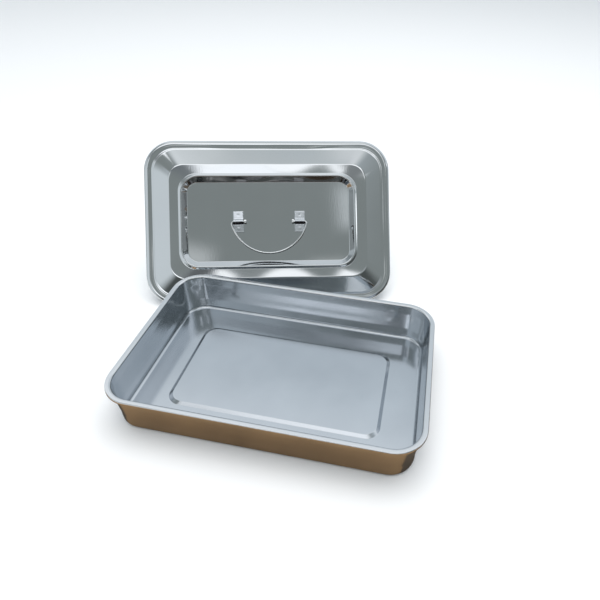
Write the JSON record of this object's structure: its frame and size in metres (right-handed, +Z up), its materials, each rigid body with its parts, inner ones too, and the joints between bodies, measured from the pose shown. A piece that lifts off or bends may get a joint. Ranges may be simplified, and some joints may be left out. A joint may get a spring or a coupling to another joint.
{
  "type": "covered instrument tray",
  "caption": "Shallow rectangular steel pan with rounded corners and a flat rim, and its stepped lid standing behind it with a wire bail in two strap clips.",
  "frame": {"origin": "centre of the tray's underside, on the surface that the tray stands on", "axes": "+X along the tray's long side, +Y towards the lid behind it, +Z up"},
  "size_m": [0.3737, 0.3712, 0.1606],
  "materials": {
    "tray_steel": "satin inside, brighter on the rim and outside",
    "lid_steel": "bright rolled and drawn, near mirror on the bends",
    "clip_steel": "bright strip with spot-weld dimples",
    "wire_steel": "polished wire"
  },
  "bodies": {
    "tray": {"tray_pan": "tray_steel"},
    "lid": {"lid_pan": "lid_steel", "left_strap_clip": "clip_steel", "right_strap_clip": "clip_steel"},
    "bail": {"bail_handle": "wire_steel"}
  },
  "joints": [
    {"name": "lid_lift", "type": "slide", "parent": "tray", "child": "lid", "axis": [-0.1629, 0.6037, 0.7804], "range_m": [0, 0.12]},
    {"name": "bail_hinge", "type": "hinge", "parent": "lid", "child": "bail", "pos_m": [-0.06381, 0.17044, 0.08581], "axis": [-0.9655, -0.2605, 0], "range_deg": [0, 174.8]}
  ]
}
